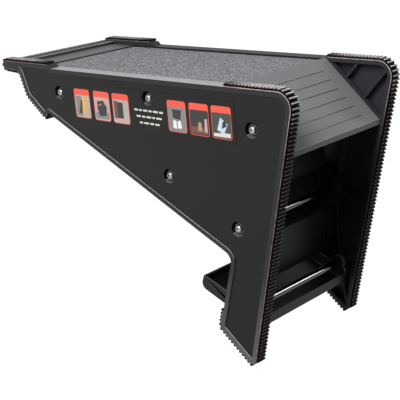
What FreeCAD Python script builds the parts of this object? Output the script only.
"""Wedge-shaped levelling platform: two rubber-shod side plates carry a gritty deck, a sloping step,
two grab rods, two crossbars and a tray.

Sizes are in millimetres. X runs from the nose (0) to the front, Y across the width (0 at the mid
plane), Z up, with the rails and the deck surface at 0. Each finished piece is then shifted along X,
so that the part's own origin is the middle of the gritty deck. Points are (x, z) pairs.
"""
import FreeCAD, Part
import math
import os

from FreeCAD import Vector

# ---- overall sizes ----
LENGTH = 535.0           # nose of the treads to the sharp front top corner of the plates
WIDTH = 208.0            # outer face to outer face
CLAW_DROP = 42.1         # height from the rails down to the rear end of the claws' flat faces
BASE_PITCH = 37.5        # slope of the plane that the claws and the soles share, degrees
FRONT_LEAN = 13.06       # lean of the front edge from the vertical, degrees
BELLY_SLOPE = 23.6       # slope of the belly, degrees
LEG_DEPTH = 57.5         # knee to front edge, along X
FOOT_DEPTH = 62.5        # rear corner of the sole to front edge, along X

# ---- side plates ----
PLATE = 14.0             # depth of a plate across the width
SKIN = 3.0               # outer wall
FIELD_STEP = 1.2         # how far the outer field lies below its border
BORDER = 6.0             # width of that border
FLANGE = 5.0             # wall round the edge
RIB = 2.5
CELL_RIB = 3.0           # the two ribs that stand on the step's line
CELLS_AT = (38.0, 73.0)  # where they stand, along the step
RIB_SHY = 1.0            # how far the ribs stop short of the plate's inner face
RIB_REACH = 80.0         # ribs run at most this far from where they start
NOSE_RISE = 4.5          # nose above the rails
NOSE_RISE_END = 112.0    # where the raised nose ends
NOSE_HEIGHT = 10.0       # height of the nose
NOSE_RAKE = 1.0          # how far its lower corner is set back
THROAT_X = 41.5          # hook's inner corner
THROAT_DROP = 2.0        # that corner below the nose's lower corner
CLAW_START = 54.0        # where the claw's flat face starts
CLAW_END = 90.0          # where it ends
CLAW_BACK = 97.0         # where the belly starts
CORNER_R = 18.0          # front top corner
KNEE_R = 13.0
TOE_R = 5.0
NOSE_TOP_R = 5.5
NOSE_R = 4.0             # nose's lower corner
RAIL_STEP_R = 3.0
THROAT_R = 7.0
CLAW_R = 18.0            # claw's rounded back, above its flat face
CLAW_END_R = 3.0
CLAW_BACK_R = 2.0

# ---- rubber treads ----
TREAD = 4.5              # thickness, with the teeth
FRONT_PAD = 98.0         # front tread's length on the rail
FRONT_TREAD_GAP = 10.0   # its lower end above the toe
NOSE_PAD_END = 106.0     # front end of the nose tread on the nose
CLAW_PAD_OVER = 4.0      # nose tread beyond the claw's flat face
SOLE_TREAD_RISE = 24.0   # sole tread's upper end above the sole's rear corner
SOLE_TREAD_GAP = 5.0     # its front end behind the toe

# ---- deck and step ----
SIDE_GAP = 0.4           # each side, between a cross piece and a plate
DECK_START = 28.0
MAT_START = 75.0
STEP_SETBACK = 101.0     # front corner to the line where the deck ends and the step begins
MAT = 1.5
DECK_SUNK = 2.5          # mat below the rails
DECK_CURB = 4.6          # deck's raised side strips, level with the rails
DECK_WALL = 3.5
APRON_DROP = 0.6         # bare apron below the rails
DECK_RIB_DEPTH = 40.0    # long ribs where they carry the tie tubes, below the rails
DECK_SHALLOW_RIB = 16.0  # the same ribs elsewhere
DECK_RIB_PAST = 14.0     # deep ribs beyond the tie tubes
DECK_EDGE = 20.0         # bare underside at the deck's rear
STEP_SEAM = 4.0          # deck ribs stop short of the step
RIB_MARGIN = 8.0         # outer long ribs in from the deck's sides
STEP_SLOPE = 42.5
STEP_LENGTH = 107.0      # along the slope
STEP_WALL = 3.5
STEP_LIP = 6.5           # height of the turned-down front lip
STEP_RIB_DEPTH = 18.0
STEP_RIB_ENDS = (6.0, 8.0)     # step's ribs in from its top and its lip, at the wall
STEP_RIB_RAKE = 9.0            # and how much further in at their lower edge
GROOVES = 6
GROOVE_FIRST = 18.5      # from the top of the step to the first groove
GROOVE_PITCH = 15.0
GROOVE_WIDTH = 1.6
GROOVE_DEPTH = 1.0
GROOVE_MARGIN = 22.0     # from each end of a groove to the step's side

# ---- tie tubes and rods ----
REAR_TIE = (127.0, -32.0)
MIDDLE_TIE_DROP = 25.0
MIDDLE_TIE_BACK = 130.0  # behind the step
STEP_TIE_ALONG = 59.8    # down the step
STEP_TIE_GAP = 0.5       # between the step's wall and its tie tube
BELLY_TIE_BACK = 99.0    # behind the knee
BELLY_TIE_RISE = 43.5    # above the belly
UPPER_ROD_FROM_KNEE = (11.0, 37.0)
LOWER_ROD_BACK = 27.0    # behind the front edge
LOWER_ROD_RISE = 32.4    # above the sole's rear corner
ROD_R = 5.0
TIE_R = 5.0
FIT = 0.2                # radial, round rods, tubes, pegs and dowels
BUSH_WALL = 2.0
BUSH_LENGTH = 9.0

# ---- screws ----
SCREW_R = 3.0
SCREW_CLEARANCE = 0.2    # radial, in plates and washers
THREAD_CLEARANCE = 0.05  # radial, in tubes and rods
SCREW_REACH = 20.0       # thread in the tube
TAP_SPARE = 2.0          # tapped hole beyond the screw
RECESS_R = 7.5
RECESS_DEPTH = 6.0
BOSS_WALL = 2.5
HEAD_R = 4.8
HEAD_HEIGHT = 3.6
HEAD_ROUND = 1.2
SOCKET_R = 2.0
SOCKET_DEPTH = 2.0
WASHER_R = 6.4
WASHER = 1.2

# ---- crossbars ----
NOSE_BAR_INSET = 0.5     # behind the plates' noses
NOSE_BAR_TOP = 4.8
NOSE_BAR_HEIGHT = 11.3
REAR_RIDGE = 4.0         # along X
CHANNEL = 10.0
CHANNEL_DEPTH = 5.5
FRONT_RIDGE = 8.0
RIDGE_FALL = 1.0         # front ridge slopes down towards the deck
BAR_R = 1.5
DOWEL_R = 2.5
DOWEL_LENGTH = 8.0
NOSE_DOWEL_DROP = 1.5
CLAW_BAR = 11.0          # side of its square section
CLAW_BAR_RISE = 8.3      # its axis above the claw's flat face

# ---- bulkhead ----
BULKHEAD = 3.0
BULKHEAD_BACK = 17.0     # behind the upper rod
COVE_BACK = 37.0         # cove's wall behind the upper rod
COVE_UP = 29.0           # cove above and below the rod
COVE_DOWN = 34.0
COVE_FALL = 8.0          # slope of its ceiling
COVE_FLOOR = 18.0        # slope of its floor
FOOT_FROM_ROD = (-27.0, 11.0)  # bulkhead's lower end from the lower rod
CHEEK = 14.0             # strips at its lower sides, in front of the wall
EAR_FRONT = 11.0         # ears in front of the upper rod
EAR_HALF = 12.0          # half height there
STIFFENER = 8.0
STIFFENER_GAP = 6.0      # below the bulkhead's top

# ---- tray ----
TRAY_WALL = 3.0
TRAY_REAR_FROM_ROD = (-86.5, 8.0)    # outer rear bottom corner from the lower rod
TRAY_FRONT_FROM_ROD = (11.0, -28.0)  # outer front bottom corner
TRAY_DEPTH = 18.0                    # rear wall, square to the floor
TRAY_FRONT_WALL = 21.0
TRAY_REAR_R = 9.0
TRAY_FRONT_R = 3.0
TRAY_RIM_R = 1.0
TRAY_OPEN = 20.0                     # how far the cut for the hollow runs above the rim
PEG_FROM_ROD = (-21.0, -11.0)
PEG_R = 4.0
PEG_LENGTH = 7.0
EAR_FOOT_RISE = 10.0                 # tray ears' lower end above the front corner

# ---- label ----
LABEL_AFTER_TIE = 25.0   # label's rear end from the rear tie
LABEL_PAST_STEP = 15.0   # its front end beyond the top of the step
LABEL_Z = (-68.0, -16.0)
LABEL = 0.4
LABEL_R = 4.0
LABEL_NOTCH = 1.0        # clearance round the screw's boss

# ---- worked out from the sizes above ----
PAST = 1.0                       # how far cuts run past the faces they open
HALF = WIDTH / 2
INNER = HALF - PLATE             # inner faces of the plates
SPAN = INNER - SIDE_GAP          # half width of deck, step, bulkhead and tray
FIELD = HALF - FIELD_STEP        # outer field of a plate
HEAD_SEAT = HALF - RECESS_DEPTH  # bottom of the screw recesses
BASE_TAN = math.tan(math.radians(BASE_PITCH))
BELLY_TAN = math.tan(math.radians(BELLY_SLOPE))
LEAN_TAN = math.tan(math.radians(FRONT_LEAN))
STEP_ANGLE = math.radians(STEP_SLOPE)
STEP_DIR = Vector(math.cos(STEP_ANGLE), 0, -math.sin(STEP_ANGLE))
STEP_UP = Vector(math.sin(STEP_ANGLE), 0, math.cos(STEP_ANGLE))
STEP_START = LENGTH - STEP_SETBACK
ORIGIN_X = (MAT_START + STEP_START) / 2
PAN_TOP = -DECK_SUNK - MAT
PAN_UNDER = PAN_TOP - DECK_WALL
NOSE_X = TREAD
NOSE_BOTTOM = NOSE_RISE - NOSE_HEIGHT
BOSS_R = RECESS_R + BOSS_WALL
BUSH_R = ROD_R + BUSH_WALL


def past(x, z, offset):
    """Point (x, z) moved by an (x, z) offset."""
    return x + offset[0], z + offset[1]


def step_point(along, below):
    """Point down the step, and that far below its surface."""
    spot = Vector(STEP_START, 0, 0) + STEP_DIR * along - STEP_UP * below
    return spot.x, spot.z


def behind_front(setback, start, fall):
    """Where the line that falls from start, by fall for each unit of X, is setback behind the front edge."""
    x = (LENGTH - setback + LEAN_TAN * (start[1] + fall * start[0])) / (1 + LEAN_TAN * fall)
    return x, start[1] - fall * (x - start[0])


def front_x(z):
    """Front edge of the plates at height z."""
    return LENGTH + LEAN_TAN * z


CLAW_TIP = (CLAW_START, -CLAW_DROP)
CLAW_CORNER = (CLAW_END, -CLAW_DROP - BASE_TAN * (CLAW_END - CLAW_START))
BELLY_TOP = (CLAW_BACK, CLAW_CORNER[1] + CLAW_BACK - CLAW_END)
KNEE = behind_front(LEG_DEPTH, BELLY_TOP, BELLY_TAN)
SOLE = behind_front(FOOT_DEPTH, CLAW_TIP, BASE_TAN)
TOE = behind_front(0, CLAW_TIP, BASE_TAN)
MIDDLE_TIE = (STEP_START - MIDDLE_TIE_BACK, -MIDDLE_TIE_DROP)
STEP_TIE = step_point(STEP_TIE_ALONG, STEP_WALL + STEP_TIE_GAP + TIE_R)
BELLY_TIE = (KNEE[0] - BELLY_TIE_BACK, KNEE[1] + BELLY_TAN * BELLY_TIE_BACK + BELLY_TIE_RISE)
UPPER_ROD = past(*KNEE, UPPER_ROD_FROM_KNEE)
LOWER_ROD = (front_x(SOLE[1] + LOWER_ROD_RISE) - LOWER_ROD_BACK, SOLE[1] + LOWER_ROD_RISE)
TRAY_PEG = past(*LOWER_ROD, PEG_FROM_ROD)
TIES = {"rear": REAR_TIE, "middle": MIDDLE_TIE, "step": STEP_TIE, "belly": BELLY_TIE}
SCREWED = (*TIES.values(), UPPER_ROD)
NOSE_BAR_START = NOSE_X + NOSE_BAR_INSET
NOSE_BAR_END = NOSE_BAR_START + REAR_RIDGE + CHANNEL + FRONT_RIDGE
NOSE_DOWEL = (NOSE_BAR_END - FRONT_RIDGE / 2, -NOSE_DOWEL_DROP)
CLAW_BAR_AT = (CLAW_END, CLAW_CORNER[1] + CLAW_BAR_RISE)
OUTER_RIB_Y = SPAN - RIB_MARGIN
LONG_RIB_Y = (-OUTER_RIB_Y, -OUTER_RIB_Y / 3, OUTER_RIB_Y / 3, OUTER_RIB_Y)

os.makedirs("parts", exist_ok=True)


# ---- helpers ----
def box(x, y, z):
    """Box from three (low, high) pairs."""
    return Part.makeBox(x[1] - x[0], y[1] - y[0], z[1] - z[0], Vector(x[0], y[0], z[0]))


def slab(centre, thickness):
    """(low, high) pair round a centre."""
    return centre - thickness / 2, centre + thickness / 2


def bar(at, radius, y0, y1):
    """Cylinder across the width, from y0 to y1."""
    return Part.makeCylinder(radius, y1 - y0, Vector(at[0], y0, at[1]), Vector(0, 1, 0))


def rounded(points):
    """Closed wire at Y = 0 through (x, z, radius) corners."""
    corners = [Vector(x, 0, z) for x, z, _ in points]
    starts = []
    ends = []
    crests = []
    for i, (_, _, radius) in enumerate(points):
        here = corners[i]
        back = (corners[i - 1] - here).normalize()
        ahead = (corners[(i + 1) % len(points)] - here).normalize()
        half_turn = back.getAngle(ahead) / 2
        reach = radius / math.tan(half_turn)
        starts.append(here + back * reach)
        ends.append(here + ahead * reach)
        inward = (back + ahead).normalize()
        crests.append(here + inward * (radius / math.sin(half_turn) - radius))
    edges = []
    for i, (_, _, radius) in enumerate(points):
        if radius > 0:
            edges.append(Part.Arc(starts[i], crests[i], ends[i]).toShape())
        edges.append(Part.LineSegment(ends[i], starts[(i + 1) % len(points)]).toShape())
    return Part.Wire(edges)


def prism(wire, y0, y1):
    """Solid between y0 and y1 from a closed wire at Y = 0."""
    face = Part.Face(wire)
    face.translate(Vector(0, y0, 0))
    return face.extrude(Vector(0, y1 - y0, 0))


def plain_prism(points, y0, y1):
    """The same from sharp (x, z) corners."""
    return prism(Part.makePolygon([Vector(x, 0, z) for x, z in (*points, points[0])]), y0, y1)


def sheet(points, thickness, y0, y1):
    """Solid sheet of one thickness along an open line of (x, z) points, offset to its left."""
    line = [Vector(x, 0, z) for x, z in points]
    normals = []
    for a, b in zip(line, line[1:]):
        run = (b - a).normalize()
        normals.append(Vector(-run.z, 0, run.x))
    other = [line[0] + normals[0] * thickness]
    for i in range(1, len(line) - 1):
        mean = (normals[i - 1] + normals[i]).normalize()
        other.append(line[i] + mean * (thickness / mean.dot(normals[i])))
    other.append(line[-1] + normals[-1] * thickness)
    return plain_prism([(spot.x, spot.z) for spot in line + other[::-1]], y0, y1)


def strut(a, b, thickness, y0, y1):
    """Straight rib from a to b, centred on the line between them."""
    start = Vector(a[0], 0, a[1])
    end = Vector(b[0], 0, b[1])
    run = (end - start).normalize()
    side = Vector(-run.z, 0, run.x) * (thickness / 2)
    corners = (start + side, end + side, end - side, start - side)
    return plain_prism([(spot.x, spot.z) for spot in corners], y0, y1)


def fuse(shapes):
    """One solid from shapes that touch or overlap."""
    return shapes[0].multiFuse(shapes[1:]).removeSplitter()


def mirrored(shape):
    """The same piece on the other side of the mid plane."""
    return shape.mirror(Vector(0, 0, 0), Vector(0, 1, 0))


def on_both_sides(shape):
    """A shape made at -Y, and its mirror image."""
    return [shape, mirrored(shape)]


def save(name, shape):
    """Write one node, shifted to the part's origin."""
    shape = shape.translated(Vector(-ORIGIN_X, 0, DECK_SUNK))
    shape.exportStep(f"parts/{name}.step")
    solids = shape.Solids
    volume = sum(solid.Volume for solid in solids)
    print(f"{name}: {len(solids)} solid(s), {volume / 1000:.1f} cm3, valid {shape.isValid()}")


# ---- side plates and treads, made for the side at -Y ----
def plate_outline():
    """Edge of a plate under its rubber."""
    return rounded([
        (NOSE_X, NOSE_RISE, NOSE_TOP_R),
        (NOSE_RISE_END, NOSE_RISE, RAIL_STEP_R),
        (NOSE_RISE_END + NOSE_RISE, 0, RAIL_STEP_R),
        (LENGTH, 0, CORNER_R),
        (*TOE, TOE_R),
        (*SOLE, TOE_R),
        (*KNEE, KNEE_R),
        (*BELLY_TOP, CLAW_BACK_R),
        (*CLAW_CORNER, CLAW_END_R),
        (*CLAW_TIP, CLAW_R),
        (THROAT_X, NOSE_BOTTOM - THROAT_DROP, THROAT_R),
        (NOSE_X + NOSE_RAKE, NOSE_BOTTOM, NOSE_R),
    ])


def ray(at, heading, thickness, y0, y1):
    """Rib from a point, at a heading in degrees above +X."""
    angle = math.radians(heading)
    end = (at[0] + RIB_REACH * math.cos(angle), at[1] + RIB_REACH * math.sin(angle))
    return strut(at, end, thickness, y0, y1)


def plate_ribs(y0, y1):
    """Inner ribs, which run into the flange and are trimmed to the outline afterwards."""
    between = [
        (REAR_TIE, MIDDLE_TIE), (MIDDLE_TIE, BELLY_TIE), (REAR_TIE, BELLY_TIE),
        (BELLY_TIE, UPPER_ROD), (MIDDLE_TIE, UPPER_ROD), (STEP_TIE, UPPER_ROD),
        (UPPER_ROD, LOWER_ROD), (LOWER_ROD, TRAY_PEG), (LOWER_ROD, TOE),
    ]
    headings = [
        (REAR_TIE, 139), (REAR_TIE, 219), (BELLY_TIE, 205),
        (UPPER_ROD, 257), (UPPER_ROD, 335), (LOWER_ROD, 28),
    ]
    ribs = [strut(a, b, RIB, y0, y1) for a, b in between]
    ribs += [ray(at, heading, RIB, y0, y1) for at, heading in headings]
    ribs.append(strut(step_point(-BOSS_R, 0), step_point(STEP_LENGTH + BOSS_R, 0), FLANGE, y0, y1))
    for along in CELLS_AT:
        ribs.append(strut(step_point(along, 0), step_point(along, -RIB_REACH), CELL_RIB, y0, y1))
    return ribs


def side_plate():
    outline = plate_outline()
    body = prism(outline, -HALF, -INNER)
    body = body.cut(prism(outline.makeOffset2D(-BORDER), -HALF - PAST, -FIELD))
    body = body.cut(prism(outline.makeOffset2D(-FLANGE), -FIELD + SKIN, -INNER + PAST))
    inside = prism(outline.makeOffset2D(-FLANGE / 2), -FIELD, -INNER)
    inner_works = [fuse(plate_ribs(-FIELD + SKIN / 2, -INNER - RIB_SHY))]
    inner_works += [bar(at, BOSS_R, -FIELD, -INNER) for at in SCREWED]
    inner_works.append(bar(LOWER_ROD, BUSH_R + FIT + BOSS_WALL, -FIELD, -INNER))
    inner_works.append(bar(TRAY_PEG, PEG_R + FIT + BOSS_WALL, -FIELD, -INNER))
    body = fuse([body] + [piece.common(inside) for piece in inner_works])
    for at in SCREWED:
        body = body.cut(bar(at, RECESS_R, -HALF - PAST, -HEAD_SEAT))
        body = body.cut(bar(at, SCREW_R + SCREW_CLEARANCE, -HALF, -INNER + PAST))
    body = body.cut(bar(LOWER_ROD, BUSH_R + FIT, -INNER - BUSH_LENGTH, -INNER + PAST))
    body = body.cut(bar(TRAY_PEG, PEG_R + FIT, -INNER - PEG_LENGTH - FIT, -INNER + PAST))
    for at in (NOSE_DOWEL, CLAW_BAR_AT):
        body = body.cut(bar(at, DOWEL_R + FIT, -INNER - DOWEL_LENGTH - FIT, -INNER + PAST))
    return body


def tread(zones):
    """Rubber on the plate's edge, kept only inside the given (x pair, z pair) boxes."""
    outline = plate_outline()
    band = prism(outline.makeOffset2D(TREAD), -HALF, -INNER)
    band = band.cut(prism(outline, -HALF - PAST, -INNER + PAST))
    kept = [band.common(box(x, (-HALF - PAST, -INNER + PAST), z)) for x, z in zones]
    return kept[0] if len(kept) == 1 else fuse(kept)


def nose_tread():
    top = ((-TREAD, NOSE_PAD_END), (0, NOSE_RISE + 2 * TREAD))
    under = ((-TREAD, CLAW_END + CLAW_PAD_OVER), (2 * CLAW_CORNER[1], 0))
    return tread([top, under])


def front_tread():
    split = -2 * CORNER_R
    top = ((LENGTH - FRONT_PAD, LENGTH + 2 * TREAD), (split, 2 * TREAD))
    edge = ((TOE[0] - TREAD, LENGTH + 2 * TREAD), (TOE[1] + FRONT_TREAD_GAP, split))
    return tread([top, edge])


def sole_tread():
    across = (SOLE[0] - 2 * TREAD, TOE[0] - SOLE_TREAD_GAP)
    return tread([(across, (TOE[1] - 2 * TREAD, SOLE[1] + SOLE_TREAD_RISE))])


# ---- deck, mat and step ----
def deck_pan():
    across = (-SPAN, SPAN)
    pan = [
        box((DECK_START, STEP_START), across, (PAN_UNDER, PAN_TOP)),
        box((DECK_START, MAT_START), across, (PAN_UNDER, -APRON_DROP)),
    ]
    pan += on_both_sides(box((DECK_START, STEP_START), (-SPAN, -SPAN + DECK_CURB), (PAN_UNDER, 0)))
    ribbed = (DECK_START + DECK_EDGE, STEP_START - STEP_SEAM)
    deep = (REAR_TIE[0] - DECK_RIB_PAST, MIDDLE_TIE[0] + DECK_RIB_PAST)
    for y in LONG_RIB_Y:
        pan.append(box(ribbed, slab(y, RIB), (-DECK_SHALLOW_RIB, PAN_TOP)))
        pan.append(box(deep, slab(y, RIB), (-DECK_RIB_DEPTH, PAN_TOP)))
    pan = fuse(pan)
    for at in (REAR_TIE, MIDDLE_TIE):
        pan = pan.cut(bar(at, TIE_R + FIT, -SPAN, SPAN))
    return pan


def grip_mat():
    half = SPAN - DECK_CURB
    return box((MAT_START, STEP_START), (-half, half), (PAN_TOP, -DECK_SUNK))


def step_panel():
    start = step_point(0, 0)
    lip = step_point(STEP_LENGTH, 0)
    panel = [plain_prism([
        start,
        lip,
        (lip[0], lip[1] - STEP_LIP),
        (lip[0] - STEP_WALL, lip[1] - STEP_LIP),
        step_point(STEP_LENGTH - STEP_WALL / STEP_DIR.x, STEP_WALL),
        (start[0], start[1] - STEP_WALL / STEP_UP.z),
    ], -SPAN, SPAN)]
    high, low = STEP_RIB_ENDS
    middle = STEP_WALL / 2
    rib = [
        step_point(high, middle),
        step_point(STEP_LENGTH - low, middle),
        step_point(STEP_LENGTH - low - STEP_RIB_RAKE, STEP_RIB_DEPTH),
        step_point(high + STEP_RIB_RAKE, STEP_RIB_DEPTH),
    ]
    panel += [plain_prism(rib, *slab(y, RIB)) for y in LONG_RIB_Y]
    panel = fuse(panel)
    groove_end = SPAN - GROOVE_MARGIN
    for i in range(GROOVES):
        along = GROOVE_FIRST + i * GROOVE_PITCH
        cut_line = (step_point(along, -PAST), step_point(along, GROOVE_DEPTH))
        panel = panel.cut(strut(*cut_line, GROOVE_WIDTH, -groove_end, groove_end))
    return panel.cut(bar(STEP_TIE, TIE_R + FIT, -SPAN, SPAN))


# ---- tubes, rods and fasteners ----
def tapped(at, radius):
    """A rod or tube that reaches from plate to plate, tapped at both ends."""
    piece = bar(at, radius, -INNER, INNER)
    depth = SCREW_REACH + TAP_SPARE
    for hole in on_both_sides(bar(at, SCREW_R + THREAD_CLEARANCE, -INNER, -INNER + depth)):
        piece = piece.cut(hole)
    return piece


def lower_rod():
    reach = INNER + BUSH_LENGTH - BUSH_WALL
    return bar(LOWER_ROD, ROD_R, -reach, reach)


def rod_bush():
    """Cup that holds one end of the lower rod, at -Y."""
    cup = bar(LOWER_ROD, BUSH_R, -INNER - BUSH_LENGTH, -INNER)
    return cup.cut(bar(LOWER_ROD, ROD_R + FIT, -INNER - BUSH_LENGTH + BUSH_WALL, -INNER))


def face_rim(shape, y):
    """Edges that lie in the plane at y."""
    return [edge for edge in shape.Edges if max(abs(vertex.Y - y) for vertex in edge.Vertexes) < 1e-3]


def screws():
    """Pan-head socket screws of one side, at -Y."""
    seat = -HEAD_SEAT - WASHER
    top = seat - HEAD_HEIGHT
    group = []
    for at in SCREWED:
        head = bar(at, HEAD_R, top, seat)
        head = head.makeFillet(HEAD_ROUND, face_rim(head, top))
        shank = bar(at, SCREW_R, seat, -INNER + SCREW_REACH)
        group.append(fuse([shank, head]).cut(bar(at, SOCKET_R, top, top + SOCKET_DEPTH)))
    return Part.makeCompound(group)


def washers():
    group = []
    for at in SCREWED:
        ring = bar(at, WASHER_R, -HEAD_SEAT - WASHER, -HEAD_SEAT)
        group.append(ring.cut(bar(at, SCREW_R + SCREW_CLEARANCE, -HALF, -INNER)))
    return Part.makeCompound(group)


# ---- crossbars, bulkhead and tray ----
def dowelled(beam, at):
    """A crossbar with a dowel at each end, which sits in the plate."""
    dowel = bar(at, DOWEL_R, -INNER - DOWEL_LENGTH, -INNER)
    return fuse([beam] + on_both_sides(dowel))


def nose_bar():
    channel = (NOSE_BAR_START + REAR_RIDGE, NOSE_BAR_END - FRONT_RIDGE)
    floor = NOSE_BAR_TOP - CHANNEL_DEPTH
    bottom = NOSE_BAR_TOP - NOSE_BAR_HEIGHT
    beam = rounded([
        (NOSE_BAR_START, NOSE_BAR_TOP, BAR_R),
        (channel[0], NOSE_BAR_TOP, BAR_R),
        (channel[0], floor, BAR_R),
        (channel[1], floor, BAR_R),
        (channel[1], NOSE_BAR_TOP, BAR_R),
        (NOSE_BAR_END, NOSE_BAR_TOP - RIDGE_FALL, BAR_R),
        (NOSE_BAR_END, bottom, BAR_R),
        (NOSE_BAR_START, bottom, BAR_R),
    ])
    return dowelled(prism(beam, -INNER, INNER), NOSE_DOWEL)


def claw_bar():
    x, z = CLAW_BAR_AT
    half = CLAW_BAR / 2
    corners = [(x - half, z + half), (x + half, z + half), (x + half, z - half), (x - half, z - half)]
    beam = rounded([(*corner, BAR_R) for corner in corners])
    return dowelled(prism(beam, -INNER, INNER), CLAW_BAR_AT)


def bulkhead():
    """Wall behind the rods, with a cove that leaves room for a hand round the upper rod."""
    wall_x = UPPER_ROD[0] - BULKHEAD_BACK
    cove_x = UPPER_ROD[0] - COVE_BACK
    cove_top = UPPER_ROD[1] + COVE_UP
    cove_bottom = UPPER_ROD[1] - COVE_DOWN
    wall_top = -DECK_SHALLOW_RIB - SIDE_GAP
    ear_x = UPPER_ROD[0] + EAR_FRONT
    foot = past(*LOWER_ROD, FOOT_FROM_ROD)
    panel = [sheet([
        (wall_x, wall_top),
        (wall_x, cove_top),
        (cove_x, cove_top - COVE_FALL),
        (cove_x, cove_bottom + COVE_FLOOR),
        (wall_x, cove_bottom),
        foot,
    ], BULKHEAD, -SPAN, SPAN)]
    ear = plain_prism([
        (cove_x, cove_top - COVE_FALL),
        (wall_x, cove_top),
        (ear_x, UPPER_ROD[1] + EAR_HALF),
        (ear_x, UPPER_ROD[1] - EAR_HALF),
        (wall_x, cove_bottom),
        (cove_x, cove_bottom + COVE_FLOOR),
    ], -SPAN, -SPAN + BULKHEAD)
    cheek = plain_prism([
        (wall_x, cove_bottom),
        (wall_x + CHEEK, cove_bottom),
        (foot[0] + CHEEK / 2, foot[1]),
        foot,
    ], -SPAN, -SPAN + BULKHEAD)
    panel += on_both_sides(ear) + on_both_sides(cheek)
    stiffened = (cove_top, wall_top - STIFFENER_GAP)
    for y in LONG_RIB_Y[1:3]:
        panel.append(box((wall_x - STIFFENER, wall_x), slab(y, RIB), stiffened))
    return fuse(panel).cut(bar(UPPER_ROD, ROD_R + FIT, -SPAN, SPAN))


def tray():
    rear = Vector(LOWER_ROD[0] + TRAY_REAR_FROM_ROD[0], 0, LOWER_ROD[1] + TRAY_REAR_FROM_ROD[1])
    front = Vector(LOWER_ROD[0] + TRAY_FRONT_FROM_ROD[0], 0, LOWER_ROD[1] + TRAY_FRONT_FROM_ROD[1])
    floor = (front - rear).normalize()
    up = Vector(-floor.z, 0, floor.x)
    rear_rim = rear + up * TRAY_DEPTH
    front_rim = front + Vector(0, 0, TRAY_FRONT_WALL)
    shell = rounded([
        (rear.x, rear.z, TRAY_REAR_R),
        (rear_rim.x, rear_rim.z, TRAY_RIM_R),
        (front_rim.x, front_rim.z, TRAY_RIM_R),
        (front.x, front.z, TRAY_FRONT_R),
    ])
    inside = [
        (rear + floor * TRAY_WALL + up * TRAY_WALL, TRAY_REAR_R - TRAY_WALL),
        (rear_rim + floor * TRAY_WALL + up * TRAY_OPEN, 0),
        (front_rim - floor * TRAY_WALL + up * TRAY_OPEN, 0),
        (front - floor * TRAY_WALL + up * TRAY_WALL, TRAY_FRONT_R / 2),
    ]
    hollow = rounded([(spot.x, spot.z, radius) for spot, radius in inside])
    shell = prism(shell, -SPAN, SPAN).cut(prism(hollow, -SPAN + TRAY_WALL, SPAN - TRAY_WALL))
    end_wall = (-SPAN, -SPAN + TRAY_WALL)
    ear_foot = (LOWER_ROD[0], front.z + EAR_FOOT_RISE)
    pieces = [shell]
    pieces += on_both_sides(bar(LOWER_ROD, BOSS_R, *end_wall))
    pieces += on_both_sides(strut(LOWER_ROD, ear_foot, BOSS_R, *end_wall))
    pieces += on_both_sides(bar(TRAY_PEG, PEG_R, -INNER - PEG_LENGTH, -SPAN))
    return fuse(pieces).cut(bar(LOWER_ROD, ROD_R + FIT, -SPAN, SPAN))


def side_label():
    """Film on the right plate's field, notched round one screw's boss."""
    rear = REAR_TIE[0] + LABEL_AFTER_TIE
    front = STEP_START + LABEL_PAST_STEP
    low, high = LABEL_Z
    outline = rounded([(x, z, LABEL_R) for x, z in ((rear, low), (rear, high), (front, high), (front, low))])
    film = prism(outline, -FIELD - LABEL, -FIELD)
    return film.cut(bar(MIDDLE_TIE, BOSS_R + LABEL_NOTCH, -HALF, -INNER))


PAIRS = {
    "side_plate": side_plate(),
    "front_tread": front_tread(),
    "nose_tread": nose_tread(),
    "sole_tread": sole_tread(),
    "rod_bush": rod_bush(),
    "screws": screws(),
    "washers": washers(),
}
for piece_name, piece in PAIRS.items():
    save(f"right_{piece_name}", piece)
    save(f"left_{piece_name}", mirrored(piece))

for tie_name, tie_at in TIES.items():
    save(f"{tie_name}_tie_tube", tapped(tie_at, TIE_R))
save("upper_rod", tapped(UPPER_ROD, ROD_R))
save("lower_rod", lower_rod())
save("deck_pan", deck_pan())
save("grip_mat", grip_mat())
save("step_panel", step_panel())
save("nose_bar", nose_bar())
save("claw_bar", claw_bar())
save("bulkhead", bulkhead())
save("tray", tray())
save("side_label", side_label())
